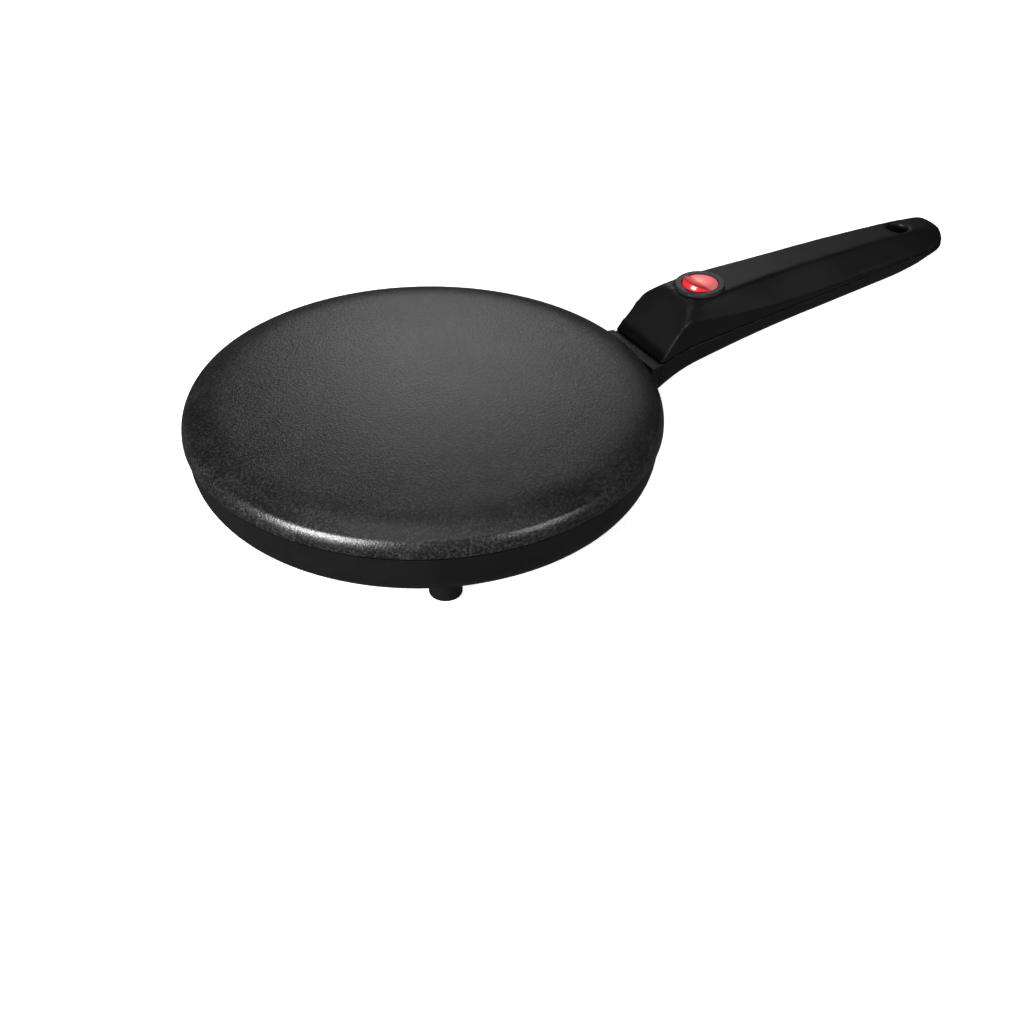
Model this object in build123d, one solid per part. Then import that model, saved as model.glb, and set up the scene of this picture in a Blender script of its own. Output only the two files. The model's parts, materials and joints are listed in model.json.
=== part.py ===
from build123d import *
import math
import os

# Electric crepe maker: a domed heating plate on a shallow bowl with three feet, and a long
# moulded handle that carries a round rocker switch.
#
# The model is drawn from the axis of the plate, at the height of the plate's lower lip, with
# +X along the handle and +Z up. save() moves every piece to the frame of the part: on the
# table, under the middle of the overall length. All sizes are millimetres.

# ---------------------------------------------------------------- overall
plate_diameter = 200.0
handle_reach = 175.0            # plate rim to handle tip
lip_height = 30.0               # table to lower lip of the plate

plate_radius = plate_diameter / 2
tip_x = plate_radius + handle_reach
overall_length = plate_radius + tip_x

# ---------------------------------------------------------------- heating plate
plate_wall = 3.0
plate_crown = 15.0              # top of the dome
plate_corner = 10.3             # where dome and side would meet without the rounding
plate_edge_round = 9.3
screw_boss_radius = 5.5
screw_boss_end = -4.0
thread_clearance = 0.02         # screws in their threaded holes
hole_clearance = 0.2            # screws in plain holes

# ---------------------------------------------------------------- heating element
element_ring_radius = 62.0
element_radius = 3.25
element_flat = 2.6              # tube axis to the flat that lies on the plate
element_seat = 6.0              # underside of the land that carries the element
element_land_width = 11.0
element_leg_offset = 13.0       # legs beside the middle plane
element_bend_radius = 14.0
element_leg_end = 79.0
seal_length = 3.6
seal_radius = 3.0
pin_length = 4.0
pin_radius = 1.1

# ---------------------------------------------------------------- straps and small screws
strap_thickness = 1.0
strap_width = 9.0
strap_clearance = 0.15
strap_angles = (60.0, 180.0, 300.0)
lug_radius = 4.0
small_screw_radius = 1.5
small_screw_length = 5.0
small_head_radius = 2.7
small_head_height = 1.8
screw_tip_room = 0.5            # end of a screw to the bottom of its hole

# ---------------------------------------------------------------- thermostat and fuse
thermostat_seat = 8.0
cap_radius = 7.9
cap_height = 3.2
bracket_thickness = 0.8
bracket_width = 9.0
bracket_screw_offset = 12.0
body_neck_radius = 6.4
body_radius = 7.6
body_height = 8.4
tab_width = 6.3
tab_thickness = 0.8
tab_reach = 8.0
fuse_seat = 7.0
fuse_y = -32.0
fuse_radius = 2.1
fuse_length = 12.0
fuse_wire_radius = 0.6
fuse_wire_reach = 14.0
sleeve_clearance = 0.1
sleeve_wall = 0.6
sleeve_length = 20.0

# ---------------------------------------------------------------- heat shield
shield_thickness = 0.6
shield_radius = 87.5
shield_hole_radius = 40.0
shield_rim = 2.5
shield_level = -7.0
shield_clearance = 0.3

# ---------------------------------------------------------------- bowl
bowl_inset = 1.0                # rim of the bowl stands inside the rim of the plate
rim_gap = 0.8                   # shadow line between plate and bowl
bowl_depth = 23.0
bowl_taper = 3.6
bowl_round = 16.0
bowl_wall = 2.5
upstand_height = 3.0
upstand_wall = 2.5
upstand_clearance = 0.3
rib_thickness = 1.6
rib_height = 5.0
rib_inner_radius = 34.0
rib_count = 6
vent_width = 3.0
vent_length = 16.0
vent_radius = 56.0
vent_spread = 9.0

# ---------------------------------------------------------------- feet and long screws
foot_radius = 6.75
foot_height = 10.0
foot_circle = 81.0
foot_angles = (0.0, 115.0, -115.0)
foot_edge_round = 1.5
foot_clearance = 0.1
foot_screw_recess = 4.0
foot_screw_recess_radius = 3.9
column_base_radius = 9.0
column_base_height = 4.5
column_radius = 6.0
column_tip_radius = 4.5
long_screw_radius = 2.0
long_screw_depth = 8.0          # thread in the plate
long_head_radius = 3.6
long_head_height = 2.4

# ---------------------------------------------------------------- neck and handle
ledge_length = 8.3              # ledge between the plate and the foot of the neck face
ledge_drop = 0.5                # ledge below the lip of the plate
ledge_flat = 4.5
ledge_step = 1.8
neck_face_length = 19.0         # run of the sloped neck face
neck_face_round = 11.0
handle_wall = 2.4
crown_height = 20.4             # flat top of the handle, above the lip of the plate
crown_radius = 1600.0           # the flat top bends down towards the tip
part_rise = 9.0                 # rise of the parting line along the handle
tip_plan_length = 13.0          # the tip is half an ellipse in plan
tip_plan_width = 28.4
tip_fall = 1.0                  # the flat top falls away before the tip
tip_fall_length = 20.0
tip_top_round = 4.2
tip_chin = 6.0                  # height where the underside meets the end of the tip
tip_chin_length = 35.0
tip_bottom_round = 3.6
bottom_round = 7.0
lip_depth = 1.5
lap_clearance = 0.1
tongue_clearance = 0.2
tongue_wall = 2.2
tongue_length = 20.0
hang_hole_radius = 4.9
hang_hole_from_tip = 22.5
hang_tube_wall = 1.9

neck_end = plate_radius + ledge_length
switch_x = neck_end + 32.7
handle_length = tip_x - neck_end
hang_x = tip_x - hang_hole_from_tip

# Cross-sections of the handle: place, half width of the flat top, height and half width of
# the crease, height and half width of the underside.
root_section = (plate_radius - 8.0, 13.0, 18.2, 24.2, -20.6, 18.2)
collar_section = (neck_end, 11.8, 16.8, 20.4, -17.2, 15.7)
brow_section = (neck_end + 14.7, 11.2, 15.2, 16.6, -13.6, 12.8)
switch_section = (switch_x + 5.0, 10.9, 10.9, 16.1, -10.4, 11.4)
palm_section = (switch_x + 0.276 * (tip_x - switch_x), 8.8, 8.5, 15.8, -7.1, 10.6)
grip_section = (tip_x - 66.0, 8.0, 8.2, 15.3, -5.5, 9.9)
end_section = (tip_x - 25.0, 6.5, 8.9, 14.1, -3.6, 9.2)
tip_section = (tip_x + 8.0, 4.9, 9.0, 13.0, -2.4, 8.6)
handle_sections = (root_section, collar_section, brow_section, switch_section,
                   palm_section, grip_section, end_section, tip_section)
section_count = 16              # even steps of the loft through the blended sections
section_spare = 1.5             # sections run past the flat top, which is cut afterwards

# ---------------------------------------------------------------- handle screws
handle_screw_radius = 1.5
handle_head_radius = 2.9
handle_head_height = 1.9
handle_head_floor = 2.2
handle_thread_depth = 9.0
handle_boss_radius = 4.2
handle_post_radius = 3.4
handle_screw_places = (neck_end + 10.7, switch_x + 17.0, tip_x - 50.0)

# ---------------------------------------------------------------- cord gland
gland_x = tip_x - 66.0
gland_bore_radius = 3.4
gland_radius = 5.0
gland_flange_radius = 6.4
gland_flange = 1.4
gland_nose = 1.6
gland_nose_step = 1.2           # nose inside the edge of the flange
gland_inner_rim = 1.6
gland_recess = 1.2
gland_pad = 1.3                 # thickening round the gland, inside the shell
gland_pad_radius = 8.6
gland_clearance = 0.1

# ---------------------------------------------------------------- rocker switch
bezel_radius = 11.0
bezel_height = 1.4
bezel_seat = 0.1                # seat below the flat top
bezel_clearance = 0.3
housing_radius = 9.3
housing_clearance = 0.2
rocker_gap = 0.15               # rocker to the bore of its housing
housing_depth = 12.0
housing_floor = 1.2
rocker_radius = 8.1
rocker_pivot = -0.9             # pivot height, from the bezel seat
rocker_peak = 2.0               # middle of the rocker above its pivot
rocker_skirt = 2.2
rocker_wall = 1.1
rocker_tilt = 10.0              # each way from level
pivot_pin_radius = 1.0
pivot_pin_reach = 0.7           # pin beyond the ball of the rocker
pivot_clearance = 0.05
stem_radius = 2.2
stem_bore = 1.45
stem_end = -4.5
plunger_radius = 1.35
plunger_tip = -6.6
plunger_shoulder = -3.2
plunger_pin_radius = 0.55
spring_wire = 0.3
spring_turns = 4.0
teeter_tilt = 6.0
teeter_gap = 0.06
teeter_thickness = 0.5
teeter_saddle = 0.9
teeter_half_length = 5.6
teeter_width = 3.0
teeter_pivot_radius = 0.5
rivet_radius = 1.1
rivet_height = 0.5
rivet_x = 4.9
blade_width = 4.8
blade_thickness = 0.8
blade_reach = 5.8
blade_pitch = 5.0
blade_clearance = 0.05
lamp_x = 4.7
lamp_radius = 1.0
lamp_length = 7.0
lamp_level = -5.7
cradle_y = 2.7
cradle_width = 0.9

# ---------------------------------------------------------------- inner leads
lead_radius = 1.1
receiver_wall = 0.7
receiver_length = 7.0
barrel_radius = 1.6
barrel_length = 3.0
block_x = neck_end + 70.0
block_length = 18.0
block_width = 12.0
block_height = 8.5
block_pad = 1.4
sleeve_radius = 2.0
sleeve_bore = 1.3
pole_offset = 3.0
block_screw_radius = 1.1
block_screw_pitch = 8.0
tag_thickness = 0.8
tag_x = 82.0
tag_y = 24.0
tag_seat = 1.0

# ---------------------------------------------------------------- derived heights
bowl_top = -rim_gap
bowl_floor = -bowl_depth
bowl_inner_floor = bowl_floor + bowl_wall
table = -lip_height
foot_top = table + foot_height
ledge = -ledge_drop
switch_seat = crown_height - bezel_seat
element_axis_height = element_seat - element_flat
shield_underside = shield_level - shield_thickness
under_shield = shield_underside - 3.4
neck_level = -8.0


# ---------------------------------------------------------------- shared shapes
def disc(radius, bottom, top, x=0.0, y=0.0):
    """Upright round bar between two heights."""
    upright = (Align.CENTER, Align.CENTER, Align.MIN)
    return Pos(x, y, bottom) * Cylinder(radius, top - bottom, align=upright)


def block(x_range, y_range, z_range):
    """Straight block between given limits."""
    spans = (x_range, y_range, z_range)
    centre = [sum(span) / 2 for span in spans]
    return Pos(*centre) * Box(*[abs(span[1] - span[0]) for span in spans])


def turned(*outline):
    """Solid turned about the vertical axis from a closed (radius, height) outline."""
    return revolve(Plane.XZ * make_face(outline), Axis.Z)


def upright_slab(points, half_width):
    """Closed (x, z) outline thickened both ways across the handle."""
    return extrude(Plane.XZ * make_face(Polyline(*points, close=True)), half_width, both=True)


def around(angles, shape):
    """Copies of a shape turned about the axis of the plate."""
    return [Rot(0, 0, angle) * shape for angle in angles]


def polar(radius, angle):
    """Point on a circle about the axis of the plate."""
    return radius * math.cos(math.radians(angle)), radius * math.sin(math.radians(angle))


def pan_screw(head_radius, head_height, shank_radius, length, cross=True):
    """Screw that points up from its seat at height zero."""
    screw = disc(head_radius, -head_height, 0) + disc(shank_radius, 0, length)
    rim = screw.edges().filter_by(GeomType.CIRCLE).sort_by(Axis.Z)[0]
    screw = fillet(rim, head_height * 0.4)
    slot_width = head_radius * 0.3
    slot_depth = head_height * 0.5
    reach = head_radius * (0.65 if cross else 1.2)
    slot_z = (-head_height - 1, -head_height + slot_depth)
    screw -= block((-reach, reach), (-slot_width / 2, slot_width / 2), slot_z)
    if cross:
        screw -= block((-slot_width / 2, slot_width / 2), (-reach, reach), slot_z)
    return screw


def lead(points, radii):
    """Insulated wire along straight runs joined by arcs."""
    path = FilletPolyline(*points, radius=radii)
    return sweep(Plane(origin=path @ 0, z_dir=path % 0) * Circle(lead_radius), path)


# ---------------------------------------------------------------- heating plate
def dome(inset, bottom):
    """Everything under the domed surface, drawn in by the inset."""
    radius = plate_radius - inset
    crown = (0, plate_crown - inset)
    corner = (radius, plate_corner - inset)
    sides = Polyline(corner, (radius, bottom), (0, bottom), crown)
    face = make_face([TangentArc(crown, corner, tangent=(1, 0)), sides])
    edge = face.vertices().sort_by_distance((radius, plate_corner - inset, 0))[0]
    return revolve(Plane.XZ * fillet(edge, plate_edge_round - inset), Axis.Z)


def heating_plate():
    """Cast plate with the land of the element and the bosses on its underside."""
    outer = dome(0, 0)
    under = dome(0, screw_boss_end - 1)
    half_land = element_land_width / 2
    land = disc(element_ring_radius + half_land, element_seat, plate_crown)
    land -= disc(element_ring_radius - half_land, element_seat, plate_crown)
    bosses = [disc(screw_boss_radius, screw_boss_end, plate_crown, *polar(foot_circle, angle))
              for angle in foot_angles]
    lugs = [disc(lug_radius, element_seat, plate_crown, *polar(strap_lug_radius(), angle))
            for angle in strap_angles]
    thermostat_pad = disc(cap_radius + 1.5, thermostat_seat, plate_crown)
    bracket_seat = thermostat_seat - cap_height
    lugs += [disc(lug_radius, bracket_seat, plate_crown, 0, side * bracket_screw_offset)
             for side in (-1, 1)]
    fuse_pad = block((-sleeve_length / 2, sleeve_length / 2), (fuse_y - 4, fuse_y + 4),
                     (fuse_seat, plate_crown))
    lugs.append(disc(lug_radius, fuse_seat, plate_crown, 0, fuse_screw_y()))
    lugs.append(disc(lug_radius, tag_seat, plate_crown, tag_x, tag_y))
    additions = (Part() + ([land, thermostat_pad, fuse_pad] + bosses + lugs)) & under
    top = screw_boss_end + long_screw_depth + screw_tip_room
    holes = around(foot_angles, disc(long_screw_radius + thread_clearance, screw_boss_end - 1,
                                     top, foot_circle))
    for x, y, seat in small_screw_seats():
        top = seat + small_screw_length - strap_thickness + screw_tip_room
        holes.append(disc(small_screw_radius + thread_clearance, seat - 1, top, x, y))
    return (outer - dome(plate_wall, -1) + additions) - holes


def strap_lug_radius():
    """Circle of the screws that hold the element straps."""
    return element_ring_radius - element_radius - strap_thickness - lug_radius - 2.5


def fuse_screw_y():
    """Place of the fuse clip's screw, beside the sleeve."""
    return fuse_y - fuse_outer_radius() - strap_thickness - lug_radius - 0.5


def fuse_outer_radius():
    """Outside of the glass-fibre sleeve."""
    return fuse_radius + sleeve_clearance + sleeve_wall


def small_screw_seats():
    """Place and seat height of every short screw in the underside of the plate."""
    seats = [(*polar(strap_lug_radius(), angle), element_seat) for angle in strap_angles]
    bracket_seat = thermostat_seat - cap_height
    seats += [(0, side * bracket_screw_offset, bracket_seat) for side in (-1, 1)]
    seats.append((0, fuse_screw_y(), fuse_seat))
    seats.append((tag_x, tag_y, tag_seat))
    return seats


def plate_screws():
    """Short screws for straps, thermostat, fuse clip and earth tag."""
    screw = pan_screw(small_head_radius, small_head_height, small_screw_radius,
                      small_screw_length, cross=False)
    thickness = [strap_thickness] * len(strap_angles) + [bracket_thickness] * 2
    thickness += [strap_thickness, tag_thickness]
    return [Pos(x, y, seat - under) * screw
            for (x, y, seat), under in zip(small_screw_seats(), thickness)]


# ---------------------------------------------------------------- heating element
def element_path():
    """Open ring with both ends bent out towards the handle."""
    bend_centre_y = element_leg_offset + element_bend_radius
    reach = element_ring_radius + element_bend_radius
    bend_centre_x = math.sqrt(reach ** 2 - bend_centre_y ** 2)
    share = element_ring_radius / reach
    ring_end = (bend_centre_x * share, bend_centre_y * share)
    mirrored_end = (ring_end[0], -ring_end[1])
    ring = ThreePointArc(ring_end, (-element_ring_radius, 0), mirrored_end)
    legs = []
    for side in (1, -1):
        start = (ring_end[0], side * ring_end[1])
        bend_end = (bend_centre_x, side * element_leg_offset)
        turn = math.degrees(math.atan2(bend_centre_x, bend_centre_y))
        middle_angle = math.radians(-90 - turn / 2)
        middle = (bend_centre_x + element_bend_radius * math.cos(middle_angle),
                  side * (bend_centre_y + element_bend_radius * math.sin(middle_angle)))
        legs.append(ThreePointArc(start, middle, bend_end))
        legs.append(Line(bend_end, (element_leg_end, side * element_leg_offset)))
    return Wire([ring, *legs])


def heating_element():
    """Sheathed tube, pressed flat where it lies on the plate."""
    path = Pos(0, 0, element_axis_height) * element_path()
    section = Circle(element_radius)
    section -= Pos(0, element_flat + element_radius) * Rectangle(20, 2 * element_radius)
    start = path @ 0
    along = path % 0
    plane = Plane(origin=start, x_dir=Vector(0, 0, 1).cross(along), z_dir=along)
    return sweep(plane * section, path)


def end_bar(radius, start, length):
    """Pair of round bars that continue the legs of the element."""
    bar = Rot(0, 90, 0) * disc(radius, 0, length)
    return [Pos(start, side * element_leg_offset, element_axis_height) * bar
            for side in (-1, 1)]


def element_end_seals():
    """Ceramic seals on the ends of the sheath."""
    return end_bar(seal_radius, element_leg_end, seal_length)


def element_pins():
    """Cold pins that come out of the seals."""
    return end_bar(pin_radius, element_leg_end + seal_length, pin_length)


def saddle(half_gap, depth, inner_flange, outer_flange):
    """Bent strip over a tube that runs along Y: flanges at height zero, trough below."""
    t = strap_thickness
    points = [(-half_gap - t - inner_flange, 0), (-half_gap - t - inner_flange, -t),
              (-half_gap - t, -t), (-half_gap - t, -depth - t), (half_gap + t, -depth - t),
              (half_gap + t, -t), (half_gap + t + outer_flange, -t),
              (half_gap + t + outer_flange, 0), (half_gap, 0), (half_gap, -depth),
              (-half_gap, -depth), (-half_gap, 0)]
    return upright_slab(points, strap_width / 2)


def element_straps():
    """Three pressed straps, each screwed to its lug inside the ring."""
    half_gap = element_radius + strap_clearance
    depth = element_flat + element_radius + strap_clearance
    flange = half_gap + strap_thickness
    inner = element_ring_radius - flange - strap_lug_radius() + lug_radius
    outer = element_land_width / 2 - flange
    strap = saddle(half_gap, depth, inner, outer)
    strap = Pos(element_ring_radius, 0, element_seat) * strap
    hole = disc(small_screw_radius + hole_clearance, 0, element_seat + 1, strap_lug_radius())
    return around(strap_angles, strap - hole)


# ---------------------------------------------------------------- thermostat and fuse
def thermostat_cap():
    """Metal cup that holds the snap disc against the plate."""
    cap = disc(cap_radius, thermostat_seat - cap_height, thermostat_seat)
    return fillet(cap.edges().filter_by(GeomType.CIRCLE).sort_by(Axis.Z)[-1], 0.6)


def thermostat_bracket():
    """Flat strip, screwed to two lugs, that clamps the cap to the plate."""
    top = thermostat_seat - cap_height
    end = bracket_screw_offset + lug_radius
    strip = block((-bracket_width / 2, bracket_width / 2), (-end, end),
                  (top - bracket_thickness, top))
    strip += disc(cap_radius + 1.0, top - bracket_thickness, top)
    strip -= disc(body_neck_radius + hole_clearance, top - 2, top + 1)
    for side in (-1, 1):
        strip -= disc(small_screw_radius + hole_clearance, top - 2, top + 1,
                      0, side * bracket_screw_offset)
    return strip


def thermostat_body():
    """Moulded body with its neck through the bracket."""
    shoulder = thermostat_seat - cap_height - bracket_thickness
    body = disc(body_neck_radius, shoulder, thermostat_seat - cap_height)
    return body + disc(body_radius, shoulder - body_height, shoulder)


def tab_level():
    """Upper face of the thermostat's tabs."""
    return thermostat_seat - cap_height - bracket_thickness - body_height


def thermostat_tabs():
    """Two flat tabs under the body, one to each side."""
    tabs = []
    for side in (-1, 1):
        tabs.append(block((side * 2.0, side * (body_radius + tab_reach)),
                          (-tab_width / 2, tab_width / 2),
                          (tab_level() - tab_thickness, tab_level())))
    return tabs


def thermal_fuse():
    """Fuse with a wire at each end."""
    height = fuse_seat - fuse_outer_radius()
    bar = Rot(0, 90, 0) * disc(fuse_radius, -fuse_length / 2, fuse_length / 2)
    wire = Rot(0, 90, 0) * disc(fuse_wire_radius, -fuse_wire_reach, fuse_wire_reach)
    return Pos(0, fuse_y, height) * (bar + wire)


def fuse_sleeve():
    """Glass-fibre sleeve round the fuse."""
    height = fuse_seat - fuse_outer_radius()
    half = sleeve_length / 2
    tube = disc(fuse_outer_radius(), -half, half)
    tube -= disc(fuse_radius + sleeve_clearance, -half - 1, half + 1)
    return Pos(0, fuse_y, height) * (Rot(0, 90, 0) * tube)


def fuse_clip():
    """Clip that presses the sleeve to its pad."""
    gap = fuse_outer_radius() + strap_clearance
    depth = 2 * fuse_outer_radius() + strap_clearance
    reach = -fuse_screw_y() + fuse_y - gap - strap_thickness + lug_radius
    clip = saddle(gap, depth, reach, 1.0)
    clip = Pos(0, fuse_y, fuse_seat) * (Rot(0, 0, 90) * clip)
    return clip - disc(small_screw_radius + hole_clearance, 0, fuse_seat + 1, 0, fuse_screw_y())


def earth_tag():
    """Ring terminal under its screw, with a barrel for the lead."""
    seat = tag_seat
    ring = disc(lug_radius, seat - tag_thickness, seat, tag_x, tag_y)
    ring += block((tag_x, tag_x + 7.0), (tag_y - 1.6, tag_y + 1.6), (seat - tag_thickness, seat))
    ring -= disc(small_screw_radius + hole_clearance, seat - 2, seat + 1, tag_x, tag_y)
    barrel = disc(barrel_radius, seat - tag_thickness - 3.0, seat - tag_thickness,
                  tag_x + 5.4, tag_y)
    return ring + barrel


# ---------------------------------------------------------------- heat shield
def heat_shield():
    """Pressed dish between the element and the bowl, on the shoulders of the columns."""
    t = shield_thickness
    inner = shield_hole_radius
    outline = Polyline((inner, shield_underside), (shield_radius, shield_underside),
                       (shield_radius, shield_level + shield_rim),
                       (shield_radius - t, shield_level + shield_rim),
                       (shield_radius - t, shield_level), (inner + t, shield_level),
                       (inner + t, shield_level + shield_rim / 2),
                       (inner, shield_level + shield_rim / 2), close=True)
    shield = turned(outline)
    hole = disc(column_tip_radius + shield_clearance, shield_underside - 1,
                shield_level + 1, foot_circle)
    for cut in around(foot_angles, hole):
        shield -= cut
    return shield


# ---------------------------------------------------------------- handle form
def inset_outline(points, inset):
    """Closed outline with every side moved inwards, kept in order."""
    moved = []
    count = len(points)
    for i in range(count):
        before, here, after = points[i - 1], points[i], points[(i + 1) % count]
        first = Vector(here[0] - before[0], here[1] - before[1]).normalized()
        second = Vector(after[0] - here[0], after[1] - here[1]).normalized()
        turn = first.X * second.Y - first.Y * second.X
        shift = (first * -1 + second) * (inset / turn)
        moved.append((here[0] + shift.X, here[1] + shift.Y))
    return moved


def rounded_corner(before, corner, after, radius):
    """Start, middle and end of the arc that rounds a corner."""
    corner = Vector(*corner)
    back = (Vector(*before) - corner).normalized()
    onward = (Vector(*after) - corner).normalized()
    half_angle = math.radians(back.get_angle(onward)) / 2
    reach = radius / math.tan(half_angle)
    inward = (back + onward).normalized() * (radius / math.sin(half_angle) - radius)
    return corner + back * reach, corner + inward, corner + onward * reach


def flat_top_height(x):
    """Height of the handle's flat top along the handle."""
    return crown_height - (x - switch_x) ** 2 / (2 * crown_radius)


def section_face(section, inset):
    """Six-sided cross-section with a rounded underside."""
    x, top_half, crease, crease_half, bottom, bottom_half = section
    lean = (crease_half - top_half) / (flat_top_height(x) - crease)
    top = flat_top_height(x) + section_spare
    top_half -= lean * section_spare
    points = [(top_half, top), (-top_half, top), (-crease_half, crease),
              (-bottom_half, bottom), (bottom_half, bottom), (crease_half, crease)]
    points = inset_outline(points, inset)
    left = rounded_corner(*points[2:5], bottom_round - inset)
    right = rounded_corner(*points[3:6], bottom_round - inset)
    edges = [Polyline(*points[:3], left[0]), ThreePointArc(*left), Line(left[2], right[0]),
             ThreePointArc(*right), Polyline(right[2], points[5], points[0])]
    return Plane(origin=(x, 0, 0), x_dir=(0, 1, 0), z_dir=(1, 0, 0)) * make_face(edges)


def section_at(x):
    """Cross-section at any place, blended smoothly through the named ones."""
    last = len(handle_sections) - 1
    low = max([i for i in range(last) if handle_sections[i][0] <= x], default=0)
    before, start = handle_sections[max(low - 1, 0)], handle_sections[low]
    end, after = handle_sections[low + 1], handle_sections[min(low + 2, last)]
    span = end[0] - start[0]
    t = (x - start[0]) / span
    section = [x]
    for i in range(1, len(start)):
        leave = span * (end[i] - before[i]) / (end[0] - before[0])
        arrive = span * (after[i] - start[i]) / (after[0] - start[0])
        bend = t * (1 - t) * (leave * (1 - t) - arrive * t)
        section.append(start[i] + t * t * (3 - 2 * t) * (end[i] - start[i]) + bend)
    return section


def handle_loft(inset):
    """Long form of the handle through all its sections, without its top and ends."""
    start, end = handle_sections[0][0], handle_sections[-1][0]
    step = (end - start) / section_count
    places = [start + k * step for k in range(section_count + 1)]
    return loft([section_face(section_at(x), inset) for x in places])


def side_face():
    """Side view of the handle: sloped neck face, bent flat top and rounded tip."""
    foot = (neck_end, ledge)
    brow_x = neck_end + neck_face_length
    brow = (brow_x, flat_top_height(brow_x))
    fall_x = tip_x - tip_fall_length
    fall = (fall_x, flat_top_height(fall_x))
    middle_x = (brow_x + fall_x) / 2
    crown_arc = ThreePointArc(brow, (middle_x, flat_top_height(middle_x)), fall)
    top_end = (tip_x, flat_top_height(tip_x) - tip_fall)
    chin = (tip_x, tip_chin)
    chin_x = tip_x - tip_chin_length
    rest = Polyline(fall, top_end, chin, (chin_x, underside_height(chin_x)), (chin_x, -60),
                    (neck_end, -60), foot, brow)
    face = make_face([crown_arc, rest])
    corners = ((brow, neck_face_round), (top_end, tip_top_round), (chin, tip_bottom_round))
    for corner, radius in corners:
        vertex = face.vertices().sort_by_distance((*corner, 0))[0]
        face = fillet(vertex, radius)
    return face


def handle_form(inset):
    """Handle from the foot of the neck face to the tip, drawn in by the inset."""
    face = side_face()
    if inset > 0:
        face = offset(face, -inset)
    side = extrude(Plane.XZ * face, 60, both=True)
    centre = tip_x - tip_plan_length
    plan = block((plate_radius - 20, centre), (-60, 60), (-60, 60))
    end = Ellipse(tip_plan_length - inset, tip_plan_width / 2 - inset)
    plan += Pos(centre, 0) * extrude(end, 60, both=True)
    return handle_loft(inset) & side & plan


def parting_height(x):
    """Height of the parting line between the two handle shells."""
    return ledge + (x - neck_end) / handle_length * part_rise


def band(low, high):
    """Everything between two distances above the parting line."""
    start, end = plate_radius - 20, tip_x + 20
    points = [(start, parting_height(start) + low), (end, parting_height(end) + low),
              (end, parting_height(end) + high), (start, parting_height(start) + high)]
    return upright_slab(points, 60)


def underside_height(x):
    """Height of the handle's underside."""
    return section_at(x)[4]


def head_seat(x):
    """Height of a handle screw's seat inside its recess."""
    return underside_height(x) + handle_head_height + 0.4


def boss_top(x):
    """Height where a lower boss meets its upper post."""
    return head_seat(x) + handle_head_floor


# ---------------------------------------------------------------- handle shells
def handle_forms():
    """Outside, inside and middle of the handle's wall."""
    return handle_form(0), handle_form(handle_wall), handle_form(handle_wall / 2)


def handle_upper_shell():
    """Upper shell with its lip, posts, switch hole and half of the hanging tube."""
    outer, inner, lap = handle_forms()
    above = crown_height + 5
    half = band(0, 80)
    tube = disc(hang_hole_radius + hang_tube_wall, -40, above, hang_x) & half
    posts = [disc(handle_post_radius, boss_top(x), above, x) for x in handle_screw_places]
    posts = (Part() + posts + tube) & outer
    lip = (handle_form(handle_wall / 2 + lap_clearance) - inner) & band(-lip_depth, 0)
    shell = ((outer - inner) & half) + [*lip.solids(), *posts.solids()]
    cuts = [disc(hang_hole_radius, -40, above, hang_x),
            disc(bezel_radius + bezel_clearance, switch_seat, above, switch_x),
            disc(housing_radius + housing_clearance, switch_seat - 2 * handle_wall, above, switch_x)]
    cuts += [disc(handle_screw_radius + thread_clearance, boss_top(x) - 1,
                  boss_top(x) + handle_thread_depth, x) for x in handle_screw_places]
    return shell - cuts


def handle_lower_shell():
    """Lower shell with its rebate, bosses, block pad, gland hole and open front."""
    outer, inner, lap = handle_forms()
    half = band(-80, 0)
    bosses = [disc(handle_boss_radius, -40, boss_top(x), x) for x in handle_screw_places]
    bosses.append(disc(hang_hole_radius + hang_tube_wall, -40, 40, hang_x) & half)
    bosses.append(block((block_x - 6, block_x + 6), (-4, 4), (-40, block_floor())))
    bosses = (Part() + bosses) & outer
    gland_pad = disc(gland_pad_radius, gland_seat(), gland_inner_seat(), gland_x)
    rebate = (lap - inner) & band(-lip_depth - lap_clearance, 1)
    front = handle_loft(handle_wall) & block((neck_end - 1, neck_end + handle_wall + 1),
                                             (-60, 60), (-60, neck_ceiling() + tongue_clearance))
    shell = ((outer - inner) & half) - [rebate, front]
    shell += [*bosses.solids(), gland_pad]
    cuts = [disc(hang_hole_radius, -40, 40, hang_x),
            disc(gland_flange_radius + gland_clearance, -40, gland_seat(), gland_x),
            disc(gland_radius + gland_clearance, -40, gland_inner_seat() + 1, gland_x)]
    for x in handle_screw_places:
        cuts.append(disc(handle_head_radius + hole_clearance, -40, head_seat(x), x))
        cuts.append(disc(handle_screw_radius + hole_clearance, -40, boss_top(x) + 1, x))
    return shell - cuts


def handle_screws():
    """Screws through the lower shell into the posts of the upper shell."""
    length = handle_head_floor + handle_thread_depth - screw_tip_room
    screw = pan_screw(handle_head_radius, handle_head_height, handle_screw_radius, length)
    return [Pos(x, 0, head_seat(x)) * screw for x in handle_screw_places]


def gland_seat():
    """Bottom of the recess for the gland."""
    return underside_height(gland_x) + gland_recess


def gland_inner_seat():
    """Inner face of the pad round the gland."""
    return underside_height(gland_x) + handle_wall + gland_pad


def cord_gland():
    """Bush with a flange on each side of the shell."""
    low, high = gland_seat(), gland_inner_seat()
    bush = disc(gland_flange_radius, low - gland_flange, low, gland_x)
    bush += disc(gland_radius, low, high, gland_x)
    bush += disc(gland_radius + gland_inner_rim, high, high + gland_flange, gland_x)
    nose_radius = gland_flange_radius - gland_nose_step
    nose = Cone(nose_radius, nose_radius - 1, gland_nose)
    nose = Rot(180, 0, 0) * nose
    bush += Pos(gland_x, 0, low - gland_flange - gland_nose / 2) * nose
    return bush - disc(gland_bore_radius, low - 20, high + 20, gland_x)


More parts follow.
